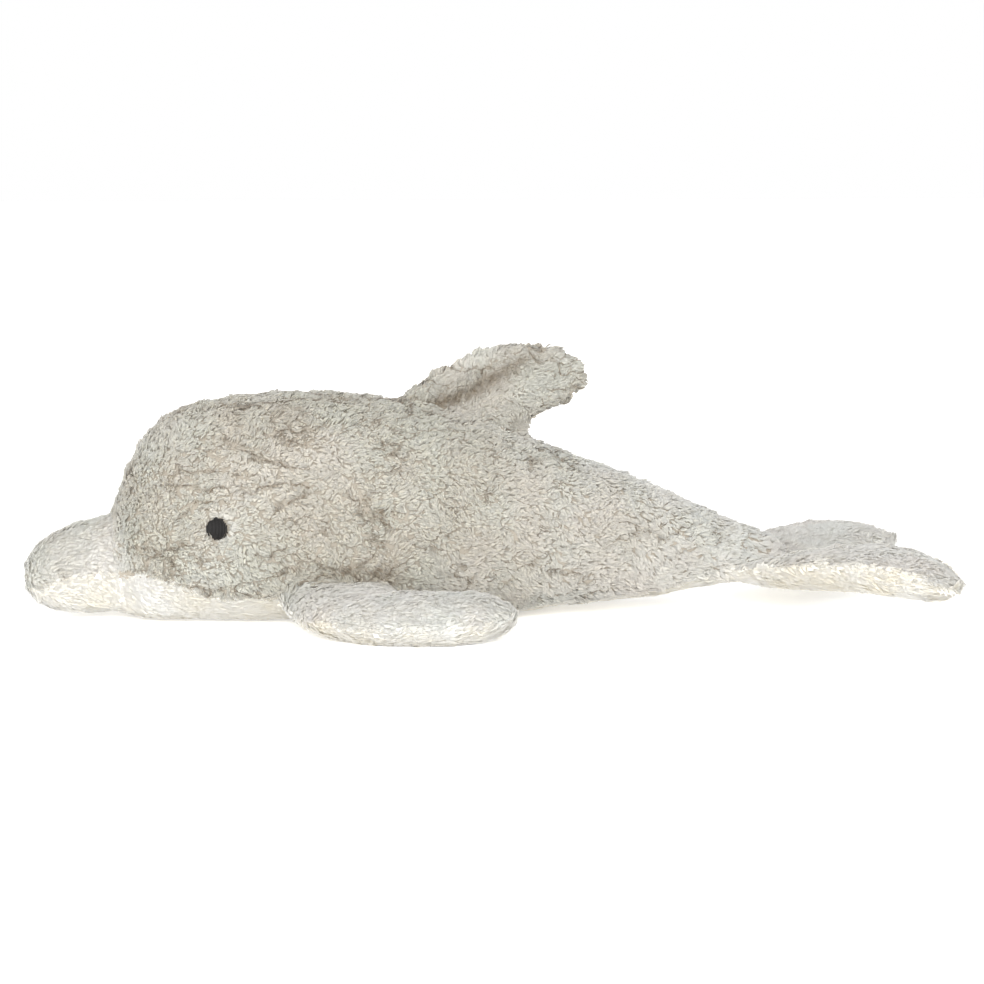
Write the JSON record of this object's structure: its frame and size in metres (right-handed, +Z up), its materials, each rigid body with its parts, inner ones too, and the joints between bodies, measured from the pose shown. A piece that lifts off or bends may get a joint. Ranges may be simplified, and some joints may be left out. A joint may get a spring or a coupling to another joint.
{
  "type": "plush dolphin",
  "caption": "Stuffed plush dolphin lying on its belly, grey pile above and cream below, with a rounded beak, flippers, tail flukes, a soft back fin and black eyes.",
  "frame": {"origin": "middle of the outline on the floor, under the flat belly", "axes": "+X towards the tail, -X towards the beak, +Z up, the dolphin's left side at -Y"},
  "size_m": [0.4876, 0.2646, 0.1452],
  "materials": {
    "grey_plush": "long soft pile, matt",
    "cream_plush": "short dense pile, matt",
    "wool_filling": "loose wool wadding",
    "black_felt": "matt stitched patch"
  },
  "bodies": {
    "root": {"side_panel_left": "grey_plush", "side_panel_right": "grey_plush", "belly_panel": "cream_plush", "body_filling": "wool_filling", "beak_upper": "grey_plush", "beak_lower": "cream_plush", "beak_filling": "wool_filling", "flipper_left_upper": "grey_plush", "flipper_left_under": "cream_plush", "flipper_right_upper": "grey_plush", "flipper_right_under": "cream_plush", "fluke_left_upper": "grey_plush", "fluke_left_under": "cream_plush", "fluke_left_filling": "wool_filling", "fluke_right_upper": "grey_plush", "fluke_right_under": "cream_plush", "fluke_right_filling": "wool_filling", "dorsal_fin_left": "grey_plush", "dorsal_fin_right": "grey_plush", "eye_left": "black_felt", "eye_right": "black_felt"}
  },
  "joints": []
}
